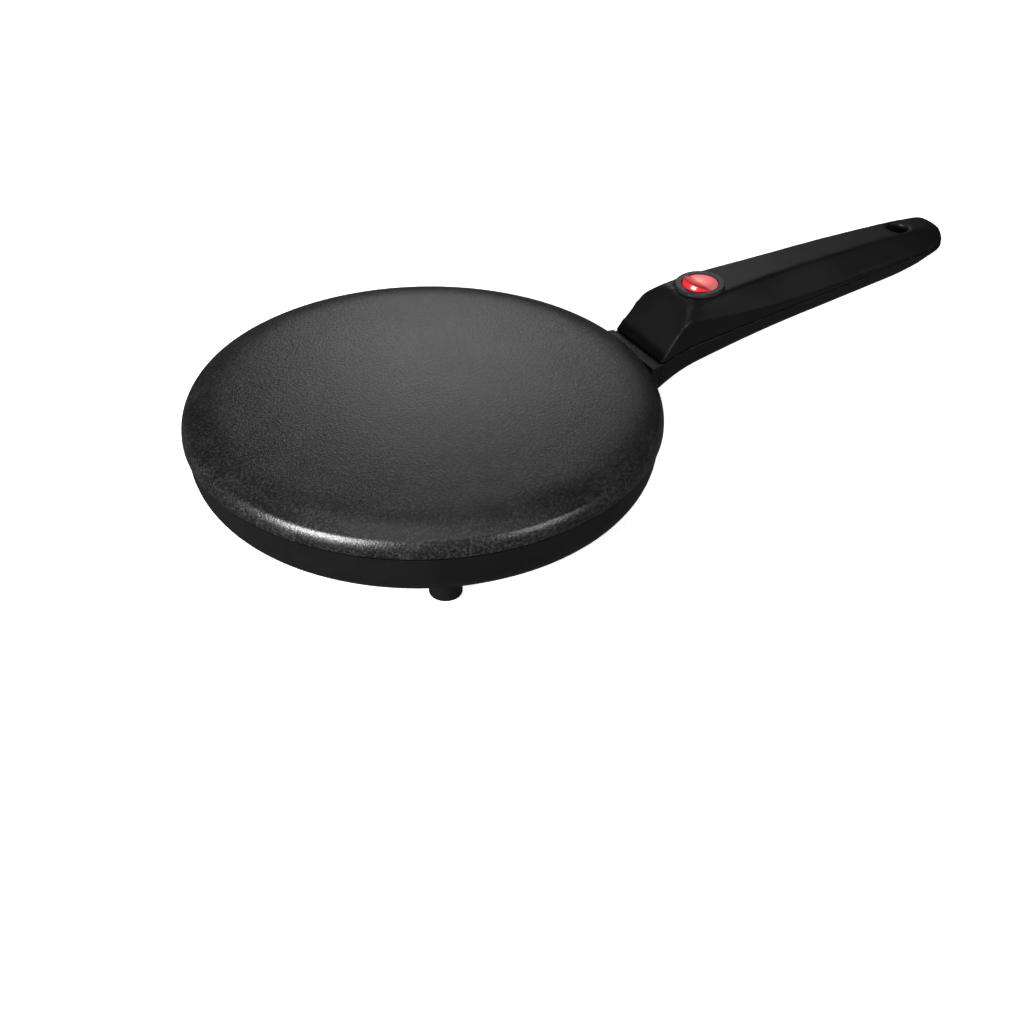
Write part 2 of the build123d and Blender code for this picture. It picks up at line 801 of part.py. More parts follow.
# ---------------------------------------------------------------- bowl
def bowl_form(inset, top):
    """Shallow bowl with a tapered wall and a large rounding to its floor."""
    radius = plate_radius - bowl_inset - inset
    floor = bowl_floor + inset
    low_radius = radius - bowl_taper
    top_radius = radius + bowl_taper * (top - bowl_top) / (bowl_top - bowl_floor)
    outline = Polyline((0, top), (top_radius, top), (low_radius, floor), (0, floor), close=True)
    face = make_face(outline)
    knee = face.vertices().sort_by_distance((low_radius, floor, 0))[0]
    return revolve(Plane.XZ * fillet(knee, bowl_round - inset), Axis.Z)


def neck_outline():
    """Side view of the neck: ledge, bevelled step and the level beside the plate."""
    step_end = neck_end - ledge_flat
    low = ledge - ledge_step
    start = plate_radius - 12
    return [(start, -60), (start, low), (step_end - ledge_step, low),
            (step_end, ledge), (neck_end, ledge), (neck_end, -60)]


def neck_ceiling():
    """Underside of the ledge, which is also the top of the tongue."""
    return ledge - ledge_step - bowl_wall


def ribs_and_columns():
    """What stands on the floor of the bowl, up to the shoulders of the columns."""
    rib = block((rib_inner_radius, plate_radius), (-rib_thickness / 2, rib_thickness / 2),
                (bowl_floor + 1, bowl_inner_floor + rib_height))
    rib_angles = [180 / rib_count + k * 360 / rib_count for k in range(rib_count)]
    base = disc(column_base_radius, bowl_floor + 1, bowl_inner_floor + column_base_height,
                foot_circle)
    column = disc(column_radius, bowl_floor + 1, shield_underside, foot_circle)
    standing = around(rib_angles, rib) + around(foot_angles, base) + around(foot_angles, column)
    return (Part() + standing) & bowl_form(bowl_wall / 2, bowl_top)


def base_shell():
    """Bowl, neck and tongue in one moulding."""
    step_end = neck_end - ledge_flat
    reach = neck_end + tongue_length
    everywhere = (-60, 60)
    below = (-60, neck_ceiling())
    tongue_inset = handle_wall + tongue_clearance
    tongue_form = handle_loft(tongue_inset)
    tongue_hollow = handle_loft(tongue_inset + tongue_wall)
    neck = handle_loft(0) & upright_slab(neck_outline(), 60)
    shell = bowl_form(0, bowl_top) + neck + (tongue_form & block((step_end, reach), everywhere, below))
    cavity = handle_loft(bowl_wall) & block((plate_radius - 12, step_end), everywhere, below)
    passage = tongue_hollow & block((step_end - 1, reach + 1), everywhere, below)
    keyhole = disc(handle_boss_radius + tongue_clearance, -60, 0, handle_screw_places[0])
    shell -= [bowl_form(bowl_wall, bowl_top + 10), cavity, passage, keyhole]
    lip_outer = plate_radius - plate_wall - upstand_clearance
    upstand = disc(lip_outer, bowl_top - 3, upstand_height)
    upstand &= dome(plate_wall + upstand_clearance, bowl_top - 4)
    upstand -= disc(lip_outer - upstand_wall, bowl_top - 4, upstand_height + 1)
    tips = around(foot_angles, disc(column_tip_radius, shield_underside - 1, screw_boss_end,
                                    foot_circle))
    shell += [upstand, *ribs_and_columns().solids(), *tips]
    vent = Pos(vent_radius, 0) * SlotOverall(vent_length, vent_width)
    vent = Pos(0, 0, bowl_floor - 1) * extrude(vent, bowl_wall + 2)
    spacing = 360 / rib_count
    vent_angles = [k * spacing + side * vent_spread for k in range(rib_count) for side in (-1, 1)]
    sockets = around(foot_angles, disc(foot_radius + foot_clearance, table, foot_top, foot_circle))
    bores = around(foot_angles, disc(long_screw_radius + hole_clearance, table,
                                     screw_boss_end + 1, foot_circle))
    return shell - (around(vent_angles, vent) + sockets + bores)


def foot(angle):
    """Round foot with a recess for its screw."""
    x, y = polar(foot_circle, angle)
    peg = disc(foot_radius, table, foot_top, x, y)
    peg = fillet(peg.edges().filter_by(GeomType.CIRCLE).sort_by(Axis.Z)[0], foot_edge_round)
    peg -= disc(foot_screw_recess_radius, table - 1, table + foot_screw_recess, x, y)
    return peg - disc(long_screw_radius + hole_clearance, table, foot_top + 1, x, y)


def base_screws():
    """Long screws from the feet up into the plate."""
    seat = table + foot_screw_recess
    length = screw_boss_end + long_screw_depth - seat
    screw = pan_screw(long_head_radius, long_head_height, long_screw_radius, length)
    return around(foot_angles, Pos(foot_circle, 0, seat) * screw)


# ---------------------------------------------------------------- rocker switch
def at_switch(shape):
    """Move a piece from the middle of the bezel seat to its place on the handle."""
    return Pos(switch_x, 0, switch_seat) * shape


def at_rocker(shape):
    """Tilt a piece about the rocker's pivot, with the side towards the tip pressed."""
    return at_switch(Pos(0, 0, rocker_pivot) * (Rot(0, rocker_tilt, 0) * shape))


def housing_bore():
    """Bore of the housing, just clear of the rocker."""
    return rocker_radius + rocker_gap


def teeter_axis():
    """Height of the teeter's axis below the rocker's pivot."""
    return plunger_tip - teeter_gap - teeter_saddle


def switch_housing():
    """Bezel and cup, with clips, cradles, pivot holes and blade slots."""
    cup = disc(bezel_radius, 0, bezel_height)
    cup = chamfer(cup.edges().filter_by(GeomType.CIRCLE).sort_by(Axis.Z)[-1], 0.5)
    cup += disc(housing_radius, -housing_depth, 0)
    clip_top = -(handle_wall - bezel_seat) - 0.15
    for side in (-1, 1):
        start = side * (housing_radius - 0.4)
        points = [(start, clip_top), (side * (housing_radius + 0.9), clip_top), (start, clip_top - 3)]
        cup += upright_slab(points, 2.0)
    cup -= disc(housing_bore(), housing_floor - housing_depth, bezel_height + 1)
    pivot_hole = Pos(0, 0, rocker_pivot) * (Rot(90, 0, 0) * disc(
        pivot_pin_radius + pivot_clearance, -housing_radius - 1, housing_radius + 1))
    cup -= pivot_hole
    floor_top = housing_floor - housing_depth
    inside = disc(housing_bore() + 0.3, -housing_depth + 0.5, 0)
    for x in (-lamp_x, lamp_x):
        for y in (-cradle_y, cradle_y):
            post = block((x - lamp_radius, x + lamp_radius), (y - cradle_width / 2, y + cradle_width / 2),
                         (floor_top - 0.3, lamp_level))
            cup += post & inside
        notch = Rot(90, 0, 0) * disc(lamp_radius + 0.02, -lamp_length, lamp_length)
        cup -= Pos(x, 0, lamp_level) * notch & disc(housing_bore() - 0.05, floor_top, 0)
    for x in (-blade_pitch, 0, blade_pitch):
        half_t = blade_thickness / 2 + blade_clearance
        half_w = blade_width / 2 + blade_clearance
        cup -= block((x - half_t, x + half_t), (-half_w, half_w), (-housing_depth - 1, floor_top + 1))
    return at_switch(cup)


def switch_rocker():
    """Round rocker: a ball cut to a shallow vee, with a hollow stem and two pivot pins."""
    rise = math.tan(math.radians(rocker_tilt))
    far = rocker_radius + 2
    vee = [(-far, rocker_peak + far * rise), (0, rocker_peak), (far, rocker_peak + far * rise),
           (far, -rocker_skirt), (-far, -rocker_skirt)]
    under = [(-far, rocker_peak - rocker_wall + far * rise), (0, rocker_peak - rocker_wall),
             (far, rocker_peak - rocker_wall + far * rise), (far, -far), (-far, -far)]
    rocker = Sphere(rocker_radius) & upright_slab(vee, far)
    rocker -= Sphere(rocker_radius - rocker_wall) & upright_slab(under, far)
    stem = disc(stem_radius, stem_end, rocker_peak - 0.2) - disc(stem_bore, stem_end - 1,
                                                                rocker_peak - rocker_wall)
    rocker += stem
    for side in (-1, 1):
        pin = disc(pivot_pin_radius, rocker_radius - rocker_wall - 0.3, rocker_radius + pivot_pin_reach)
        rocker += Rot(side * 90, 0, 0) * pin
    return at_rocker(rocker)


def switch_plunger():
    """Plunger that slides in the stem and wipes along the teeter."""
    rod = disc(plunger_radius, plunger_tip, plunger_shoulder)
    tip = rod.edges().filter_by(GeomType.CIRCLE).sort_by(Axis.Z)[0]
    rod = fillet(tip, plunger_radius * 0.9)
    rod += disc(plunger_pin_radius, plunger_shoulder, plunger_shoulder + 1.4)
    return at_rocker(rod)


def switch_spring():
    """Coil spring between the plunger and the top of the stem."""
    room = rocker_peak - rocker_wall - plunger_shoulder
    height = room - spring_wire - 0.02
    coil_radius = stem_bore - spring_wire / 2 - 0.06
    coil = Helix(height / spring_turns, height, coil_radius)
    coil = Pos(0, 0, plunger_shoulder + spring_wire / 2 + 0.01) * coil
    section = Plane(origin=coil @ 0, z_dir=coil % 0) * RegularPolygon(spring_wire / 2, 6)
    return at_rocker(sweep(section, path=coil, is_frenet=True))


def switch_teeter():
    """Contact arm that rocks on the middle terminal, against the rocker."""
    top = teeter_saddle
    arm = block((-teeter_half_length, teeter_half_length), (-teeter_width / 2, teeter_width / 2),
                (top - teeter_thickness, top))
    arm += block((-1.1, 1.1), (-teeter_width / 2, teeter_width / 2), (0, top - teeter_thickness))
    groove = Rot(90, 0, 0) * disc(teeter_pivot_radius + pivot_clearance, -5, 5)
    arm -= groove
    for x in (-rivet_x, rivet_x):
        low = top - teeter_thickness - rivet_height
        arm += disc(rivet_radius, low, top - teeter_thickness, x)
    tilted = Rot(0, -teeter_tilt, 0) * arm
    return at_switch(Pos(0, 0, rocker_pivot + teeter_axis()) * tilted)


def contact_height():
    """Top of a fixed contact, just clear of the rivet at the end of its travel."""
    tilt = math.radians(teeter_tilt)
    low = teeter_saddle - teeter_thickness - rivet_height
    dip = (rivet_x + rivet_radius) * math.sin(tilt) - low * math.cos(tilt)
    return rocker_pivot + teeter_axis() - dip - 0.08


def switch_terminals():
    """Three blades through the floor of the housing; the middle one carries the teeter."""
    floor_top = housing_floor - housing_depth
    blades = []
    for x in (-blade_pitch, 0, blade_pitch):
        blade = block((x - blade_thickness / 2, x + blade_thickness / 2),
                      (-blade_width / 2, blade_width / 2),
                      (-housing_depth - blade_reach, floor_top))
        if x == 0:
            axis = rocker_pivot + teeter_axis()
            blade += block((-0.4, 0.4), (-blade_width / 2, blade_width / 2), (floor_top, axis))
            rod = disc(teeter_pivot_radius, -teeter_width / 2 - 0.4, teeter_width / 2 + 0.4)
            blade += Pos(0, 0, axis) * (Rot(90, 0, 0) * rod)
        else:
            blade += block((x - 1.3, x + 1.1), (-1.6, 1.6), (floor_top, contact_height()))
        blades.append(at_switch(blade))
    return blades


def lamp_bar(x, radius):
    """Small round bar lying across the housing on its cradles."""
    bar = Rot(90, 0, 0) * disc(radius, -lamp_length / 2, lamp_length / 2)
    return Pos(x, 0, lamp_level) * bar


def neon_lamp():
    """Glow lamp under the rocker."""
    return at_switch(lamp_bar(lamp_x, lamp_radius))


def lamp_resistor():
    """Series resistor of the lamp: a bar with a raised cap at each end."""
    bar = lamp_bar(-lamp_x, lamp_radius - 0.15)
    for side in (-1, 1):
        cap = Rot(90, 0, 0) * disc(lamp_radius, -1.0, 1.0)
        bar += Pos(-lamp_x, side * (lamp_length / 2 - 1.0), lamp_level) * cap
    return at_switch(bar)


# ---------------------------------------------------------------- inner wiring
def receiver(blade_width_here, blade_thickness_here):
    """Push-on receiver that opens down over a blade, with a barrel for its lead above."""
    half_w = blade_width_here / 2
    half_t = blade_thickness_here / 2
    body = block((-half_t - receiver_wall, half_t + receiver_wall),
                 (-half_w - receiver_wall, half_w + receiver_wall), (0, receiver_length))
    body -= block((-half_t - blade_clearance, half_t + blade_clearance),
                  (-half_w - blade_clearance, half_w + blade_clearance), (-1, receiver_length - 1))
    return body + disc(barrel_radius, receiver_length, receiver_length + barrel_length)


def tab_receiver_start():
    """Distance of the mouth of a thermostat receiver from the axis of the plate."""
    return body_radius + tab_reach - receiver_length + 1.3


def lead_receivers():
    """Receivers on the thermostat's tabs and on two blades of the switch."""
    wide = receiver(tab_width, tab_thickness)
    middle = tab_level() - tab_thickness / 2
    start = tab_receiver_start()
    receivers = [Pos(side * start, 0, middle) * (Rot(0, side * 90, 0) * wide) for side in (-1, 1)]
    narrow = Rot(180, 0, 0) * receiver(blade_width, blade_thickness)
    for x in (-blade_pitch, blade_pitch):
        receivers.append(at_switch(Pos(x, 0, -housing_depth - 0.3) * narrow))
    return receivers


def block_floor():
    """Top of the pad under the terminal block."""
    return underside_height(block_x) + handle_wall + block_pad


def pole_height():
    """Axis of the sleeves in the terminal block."""
    return block_floor() + 3.4


def terminal_block():
    """Two-pole block with a bore and two screw wells for each pole."""
    low = block_floor()
    half = block_length / 2
    body = block((-half, half), (-block_width / 2, block_width / 2), (low, low + block_height))
    body -= block((-1, 1), (-block_width, block_width), (low + 6.5, low + 20))
    for y in (-pole_offset, pole_offset):
        bore = Rot(0, 90, 0) * disc(sleeve_radius + 0.03, -half - 1, half + 1)
        body -= Pos(0, y, pole_height()) * bore
        for x in (-block_screw_pitch / 2, block_screw_pitch / 2):
            body -= disc(block_screw_radius + 0.6, pole_height(), low + 20, x, y)
    return Pos(block_x, 0, 0) * body


def terminal_sleeves():
    """Brass sleeves in the block, threaded for their screws."""
    half = block_length / 2 - 1
    sleeves = []
    for y in (-pole_offset, pole_offset):
        tube = disc(sleeve_radius, -half, half) - disc(sleeve_bore, -half - 1, half + 1)
        tube = Pos(0, y, pole_height()) * (Rot(0, 90, 0) * tube)
        for x in (-block_screw_pitch / 2, block_screw_pitch / 2):
            tube -= disc(block_screw_radius + thread_clearance, pole_height(), 30, x, y)
        sleeves.append(Pos(block_x, 0, 0) * tube)
    return sleeves


def terminal_screws():
    """Grub screws with a slot, standing in the wells of the block."""
    screws = []
    low = pole_height() + 0.8
    high = pole_height() + 4.0
    for y in (-pole_offset, pole_offset):
        for x in (-block_screw_pitch / 2, block_screw_pitch / 2):
            grub = disc(block_screw_radius, low, high)
            grub -= block((-2, 2), (-0.2, 0.2), (high - 0.6, high + 1))
            screws.append(Pos(block_x + x, y, 0) * grub)
    return screws


def element_end(side):
    """End of a cold pin, and the point beside it where the lead turns down."""
    x = element_leg_end + seal_length + pin_length
    y = side * element_leg_offset
    return (x, y, element_axis_height), (x + 2.9, y, element_axis_height)


def fuse_end(side):
    """End of one wire of the fuse."""
    return side * fuse_wire_reach, fuse_y, fuse_seat - fuse_outer_radius()


def tab_receiver_end(side):
    """End of a thermostat receiver's barrel."""
    reach = tab_receiver_start() + receiver_length + barrel_length
    return side * reach, 0, tab_level() - tab_thickness / 2


def block_end(side):
    """Mouth of a sleeve in the terminal block, just inside it."""
    return block_x - block_length / 2 + 1.2, side * pole_offset, pole_height()


def lead_live():
    """From the switch, through the neck and under the shield, to the fuse."""
    x = switch_x - blade_pitch
    top = switch_seat - housing_depth - 0.3 - receiver_length - barrel_length
    end = fuse_end(1)
    rise_x = end[0] + 6
    points = [(x, 0, top), (x, 0, top - 2.9), (neck_end + 17, -6.0, -4.2),
              (neck_end + 7.5, -6.2, -4.2), (neck_end + 0.5, -5.4, -6.8),
              (neck_end - 9, -7.4, neck_level),
              (foot_circle - 6, -8.8, under_shield), (38, -16, under_shield),
              (rise_x, fuse_y, under_shield), (rise_x, fuse_y, end[2]), end]
    return lead(points, 2.2)


def lead_fuse():
    """From the fuse to the thermostat."""
    start, end = fuse_end(-1), tab_receiver_end(-1)
    points = [start, (start[0] - 9, start[1], start[2]), (-32, -14, end[2]),
              (end[0] - 8, 0, end[2]), end]
    return lead(points, 2.5)


def lead_heater():
    """From the thermostat to one end of the element."""
    start = tab_receiver_end(1)
    pin, corner = element_end(1)
    points = [start, (start[0] + 6, start[1], start[2]), (40, 13.5, under_shield),
              (corner[0], corner[1], under_shield), corner, pin]
    return lead(points, 2.2)


def lead_neutral():
    """From the other end of the element, through the neck, to the terminal block."""
    pin, corner = element_end(-1)
    points = [pin, corner, (corner[0], corner[1], neck_level), (neck_end - 8, -10.6, neck_level - 0.4),
              (neck_end - 2, -8.6, -7.8), (neck_end + 7, -7.6, -7.0), (neck_end + 17, -6.8, -6.9),
              (switch_x + 10, -6.3, -2.8), (block_x - 13, -5.4, 0.6), block_end(-1)]
    return lead(points, 2.2)


def lead_earth():
    """From the terminal block, through the neck, to the tag on the plate."""
    end = (tag_x + 5.4, tag_y, tag_seat - tag_thickness - 3.0)
    points = [block_end(1), (block_x - 13, 5.4, 0.6), (switch_x + 10, 6.3, -2.8),
              (neck_end + 17, 6.0, -6.5), (neck_end + 7, 6.0, -6.5), (neck_end - 2, 7.9, -7.6),
              (tag_x + 11, tag_y - 11.1, -7.6), (tag_x + 8.2, tag_y - 6.5, -7.6),
              (end[0], end[1], neck_level), end]
    return lead(points, 2.2)


# ---------------------------------------------------------------- files
def save(name, shape):
    """Write one node, moved to the frame of the part."""
    if isinstance(shape, (list, tuple)):
        shape = Compound(children=[solid for item in shape for solid in item.solids()])
    elif len(shape.solids()) == 1:
        shape = shape.solids()[0]
    place = Pos(plate_radius - overall_length / 2, 0, lip_height)
    export_step(place * shape, f"parts/{name}.step")


os.makedirs("parts", exist_ok=True)

save("heating_plate", heating_plate())
save("heating_element", heating_element())
save("element_end_seals", element_end_seals())
save("element_pins", element_pins())
save("element_straps", element_straps())
save("plate_screws", plate_screws())
save("thermostat_cap", thermostat_cap())
save("thermostat_body", thermostat_body())
save("thermostat_bracket", thermostat_bracket())
save("thermostat_tabs", thermostat_tabs())
save("thermal_fuse", thermal_fuse())
save("fuse_sleeve", fuse_sleeve())
save("fuse_clip", fuse_clip())
save("earth_tag", earth_tag())
save("heat_shield", heat_shield())
save("base_shell", base_shell())
for number, foot_angle in enumerate(foot_angles, start=1):
    save(f"foot_{number}", foot(foot_angle))
save("base_screws", base_screws())
save("handle_upper_shell", handle_upper_shell())
save("handle_lower_shell", handle_lower_shell())
save("handle_screws", handle_screws())
save("cord_gland", cord_gland())
save("switch_housing", switch_housing())
save("switch_rocker", switch_rocker())
save("switch_plunger", switch_plunger())
save("switch_spring", switch_spring())
save("switch_teeter", switch_teeter())
save("switch_terminals", switch_terminals())
save("neon_lamp", neon_lamp())
save("lamp_resistor", lamp_resistor())
save("lead_receivers", lead_receivers())
save("terminal_block", terminal_block())
save("terminal_sleeves", terminal_sleeves())
save("terminal_screws", terminal_screws())
save("lead_live", lead_live())
save("lead_fuse", lead_fuse())
save("lead_heater", lead_heater())
save("lead_neutral", lead_neutral())
save("lead_earth", lead_earth())
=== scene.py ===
import json
import math
import bmesh
import bpy
from mathutils import Matrix, Vector


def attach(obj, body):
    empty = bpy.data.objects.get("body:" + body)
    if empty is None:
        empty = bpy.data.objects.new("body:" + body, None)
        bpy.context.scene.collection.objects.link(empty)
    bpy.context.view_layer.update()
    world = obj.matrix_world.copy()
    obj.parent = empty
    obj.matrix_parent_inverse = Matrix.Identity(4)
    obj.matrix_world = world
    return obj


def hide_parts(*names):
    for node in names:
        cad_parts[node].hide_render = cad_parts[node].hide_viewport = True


# %% [markdown]
# # An electric crepe maker
# The machined model of the appliance is the frame of this scene. Every CAD node already stands
# where it belongs, in metres, with the table at height zero and the handle along +X. These cells
# light it, set the camera and give every piece the finish that the real one has. Where a moulding
# needs softer edges than the machined model has, a new piece is made and stands in for the node.

# %% Load the frame
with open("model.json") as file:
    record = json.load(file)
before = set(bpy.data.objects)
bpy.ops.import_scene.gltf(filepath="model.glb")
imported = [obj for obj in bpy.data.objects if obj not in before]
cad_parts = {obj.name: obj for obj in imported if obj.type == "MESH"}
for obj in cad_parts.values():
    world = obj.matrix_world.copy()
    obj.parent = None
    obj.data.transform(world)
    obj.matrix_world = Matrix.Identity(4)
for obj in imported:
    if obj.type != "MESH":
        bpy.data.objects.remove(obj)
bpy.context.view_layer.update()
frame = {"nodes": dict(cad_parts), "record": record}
nodes = frame["nodes"]

mm = 0.001

# %% [markdown]
# ## Camera
# The appliance is small and stands on a table, so people look down on it at an easy angle. The
# camera has a long lens, as a catalogue picture has: the lens keeps the round plate a clean
# ellipse. It looks down by 35 degrees, from the front left.

# %% Camera
camera_data = bpy.data.cameras.new("camera")
camera_data.sensor_width = 36.0
camera_data.lens = 87.89
camera_data.clip_end = 50.0
camera_turn = (55.1489, 0.1657, -32.5216)
camera = bpy.data.objects.new("camera", camera_data)
camera.location = (-0.52552, -0.75868, 0.59241)
camera.rotation_euler = [math.radians(degrees) for degrees in camera_turn]
bpy.context.scene.collection.objects.link(camera)
bpy.context.scene.camera = camera
print("camera stands", round(camera.location.length, 3), "m from the middle of the appliance")

# %% [markdown]
# ## Expressions for shader maths
# A material's pattern is a sum over nodes. Wrapping a socket in a small class lets the pattern be
# written as a formula: `grain * 0.3 + cloud * 0.2` adds the Math nodes by itself. Constants never
# go through nodes: they are set on the shader's own sockets.

# %% Socket wrapper
class Signal:
    """A number that varies over a surface, with the operators that the finishes use."""

    def __init__(self, finish, socket):
        self.finish = finish
        self.socket = socket

    def combine(self, other, operation):
        return self.finish.node("ShaderNodeMath", {"operation": operation}, {0: self, 1: other})

    def __add__(self, other):
        return self.combine(other, "ADD")

    __radd__ = __add__

    def __mul__(self, other):
        return self.combine(other, "MULTIPLY")

    __rmul__ = __mul__


# %% [markdown]
# ## Building a material
# Every finish is one Principled shader with a few textures in front of it. The class below adds a
# node from its type, its settings and its inputs in one call, so that a finish reads as a recipe:
# which noises, which colours along them, how rough, how deep the relief.

# %% Material builder
class Finish:
    """One material, built node by node around a Principled shader."""

    def __init__(self, name, **constants):
        self.material = bpy.data.materials.new(name)
        self.material.use_nodes = True
        self.tree = self.material.node_tree
        self.shader = self.tree.nodes["Principled BSDF"]
        for socket, value in constants.items():
            self.shader.inputs[socket.replace("_", " ")].default_value = value

    def node(self, kind, settings=None, inputs=None, output=0):
        new = self.tree.nodes.new(kind)
        for name, value in (settings or {}).items():
            if name == "stops":
                self.set_stops(new.color_ramp, value)
            else:
                setattr(new, name, value)
        for key, value in (inputs or {}).items():
            if isinstance(value, Signal):
                self.tree.links.new(value.socket, new.inputs[key])
            else:
                new.inputs[key].default_value = value
        return Signal(self, new.outputs[output])

    @staticmethod
    def set_stops(ramp, stops):
        """Fit a ramp's own two stops and add the others."""
        while len(ramp.elements) < len(stops):
            ramp.elements.new(0.5)
        for element, (place, colour) in zip(ramp.elements, stops):
            element.position = place
            element.color = (*colour, 1.0)

    def feed(self, socket, signal):
        self.tree.links.new(signal.socket, self.shader.inputs[socket])

    def place(self):
        """Object coordinates, in metres."""
        return self.node("ShaderNodeTexCoord", output="Object")

    def noise(self, per_metre, detail=3.0, roughness=0.55, stretch=None):
        where = self.place()
        if stretch:
            where = self.node("ShaderNodeMapping", None, {"Vector": where, "Scale": stretch})
        return self.node("ShaderNodeTexNoise", None,
                         {"Vector": where, "Scale": per_metre, "Detail": detail,
                          "Roughness": roughness})

    def spread(self, signal, low, high, low_out=0.0, high_out=1.0):
        """Stretch a band of a signal over a new range, clamped at both ends."""
        return self.node("ShaderNodeMapRange", None,
                         {"Value": signal, "From Min": low, "From Max": high,
                          "To Min": low_out, "To Max": high_out})

    def colours(self, signal, *stops):
        """Colour ramp along a signal."""
        return self.node("ShaderNodeValToRGB", {"stops": stops}, {"Fac": signal})

    def bump(self, height, distance):
        """Fine relief of a given depth in metres."""
        relief = self.node("ShaderNodeBump", None,
                           {"Height": height, "Distance": distance, "Strength": 1.0})
        self.feed("Normal", relief)


def shade(colour, factor):
    """Lighter or darker copy of a linear colour."""
    return tuple(min(1.0, channel * factor) for channel in colour)


# %% [markdown]
# ## Finish of the heating plate
# The plate is cast aluminium under a sprayed non-stick coat. The coat is nearly black, and it dries
# into tiny grains that break up every reflection, so the plate looks like fine leather when light
# rakes over it. Three noises make that: a fine one for the grains, a coarser one for pale flecks of
# pigment, and a broad one for the faint clouds that a spray gun leaves. A real relief of that
# fineness would take millions of faces, so a bump node does it.

# %% Non-stick coat
coat_relief = 0.12 * mm


def coated_plate():
    finish = Finish("coated_plate", Metallic=0.0, Specular_IOR_Level=0.5)
    grain = finish.noise(1500.0, detail=2.0, roughness=0.7)
    cloud = finish.noise(60.0, detail=4.0, roughness=0.6)
    fleck = finish.noise(850.0, detail=2.0)
    tone = grain * 0.3 + cloud * 0.2 + fleck * 0.5
    black = (0.0015, 0.0015, 0.0016)
    pigment = (0.0050, 0.0050, 0.0051)
    pale = (0.019, 0.019, 0.0193)
    finish.feed("Base Color", finish.colours(tone, (0.40, black), (0.5, pigment), (0.60, pale)))
    finish.feed("Roughness", finish.spread(grain + cloud * 0.4, 0.5, 0.9, 0.29, 0.38))
    finish.bump(grain * 0.5 + fleck, coat_relief)
    return finish.material


# %% [markdown]
# ## Finish of the black mouldings
# Base, handle and feet are moulded in black heat-resistant plastic. The mould is spark-eroded,
# which leaves a satin skin with a grain much finer than the plate's. Where hands and cloths rub,
# the grain wears to a softer gloss, and a broad noise in the roughness tells that.

# %% Moulded plastics
def moulding(name, colour, gloss=0.42, grain_depth=0.00002, grain_size=2200.0):
    finish = Finish(name, Metallic=0.0, Specular_IOR_Level=0.18)
    grain = finish.noise(grain_size, detail=2.0, roughness=0.6)
    rubbed = finish.noise(30.0, detail=3.0)
    tone = grain * 0.4 + rubbed * 0.6
    finish.feed("Base Color", finish.colours(tone, (0.3, shade(colour, 0.75)), (0.5, colour),
                                             (0.7, shade(colour, 1.3))))
    wear = rubbed + grain * 0.2
    finish.feed("Roughness", finish.spread(wear, 0.4, 0.8, gloss - 0.05, gloss + 0.07))
    finish.bump(grain, grain_depth)
    return finish.material


# %% [markdown]
# ## Metals
# Screws, straps and the teeter are bright metal. Rolled sheet has faint scratches along one
# direction, so its noise is stretched. The sheath of the element has been red hot in the works and
# has turned dull straw and grey.

# %% Metals
def metal(name, colour, rough=0.3, stretch=(1.0, 12.0, 12.0), scale=300.0):
    finish = Finish(name, Metallic=1.0)
    scratch = finish.noise(scale, detail=4.0, stretch=stretch)
    dull = finish.noise(90.0, detail=3.0)
    tone = scratch * 0.5 + dull * 0.5
    finish.feed("Base Color", finish.colours(tone, (0.3, shade(colour, 0.7)), (0.5, colour),
                                             (0.72, shade(colour, 1.15))))
    finish.feed("Roughness", finish.spread(scratch + dull, 0.7, 1.3, rough - 0.08, rough + 0.12))
    finish.bump(scratch, 0.00001)
    return finish.material


def element_sheath():
    finish = Finish("sheath", Metallic=0.9)
    bands = finish.noise(38.0, detail=3.0)
    soot = finish.noise(260.0, detail=4.0)
    tint = finish.colours(bands * 0.7 + soot * 0.3, (0.3, (0.10, 0.085, 0.075)),
                          (0.48, (0.24, 0.20, 0.16)), (0.62, (0.34, 0.33, 0.33)))
    finish.feed("Base Color", tint)
    finish.feed("Roughness", finish.spread(soot, 0.3, 0.7, 0.38, 0.62))
    finish.bump(soot, 0.00002)
    return finish.material


# %% [markdown]
# ## The lit rocker
# The rocker is clear red plastic with a glow lamp behind it. Its glow is painted into the colours
# round a spot a little to the far side, and falls off with the distance from it: the emission
# stands for the lamp's own light, the lighter base colour there is painted glow, and the pale pink
# middle of the spot is a painted highlight. A thin coat on top gives the small white highlight that
# smooth plastic has.

# %% Red lens
# Spot where the painted glow and the painted pink highlight are brightest, set off the rocker's
# middle towards the far side.
painted_glow_spot = (54.5 * mm, 2.6 * mm, 52.0 * mm)


def red_lens():
    finish = Finish("red_lens", Metallic=0.0, Roughness=0.22, Coat_Weight=0.6,
                    Coat_Roughness=0.08, Emission_Strength=0.55)
    from_painted_glow_spot = finish.node("ShaderNodeVectorMath", {"operation": "DISTANCE"},
                            {0: finish.place(), 1: painted_glow_spot}, output="Value")
    haze = finish.noise(420.0, detail=2.0)
    # 0 at the spot and 1 far from it: the painted glow and the painted highlight fade along this.
    glow_and_highlight_fade = finish.spread(from_painted_glow_spot + haze * (1.2 * mm), 1.2 * mm, 7.8 * mm)
    # Base colour lighter near the spot: painted glow.
    finish.feed("Base Color", finish.colours(glow_and_highlight_fade, (0.0, (0.80, 0.10, 0.10)),
                                             (0.6, (0.66, 0.035, 0.04)),
                                             (1.0, (0.42, 0.012, 0.016))))
    # Emission for the lamp's red glow, pale pink at the spot as a painted highlight.
    finish.feed("Emission Color", finish.colours(glow_and_highlight_fade, (0.0, (1.0, 0.42, 0.39)),
                                                 (0.45, (0.90, 0.13, 0.12)),
                                                 (1.0, (0.30, 0.010, 0.010))))
    finish.bump(haze, 0.00001)
    return finish.material


# %% [markdown]
# ## Rubber, glass, ceramic and wires
# The remaining finishes are inside the handle and the base. They follow the same plan: a base
# colour that wanders a little, a roughness that wanders with it, and a relief as fine as the real
# surface's. The earth lead has the green and yellow stripes that every electrician expects.

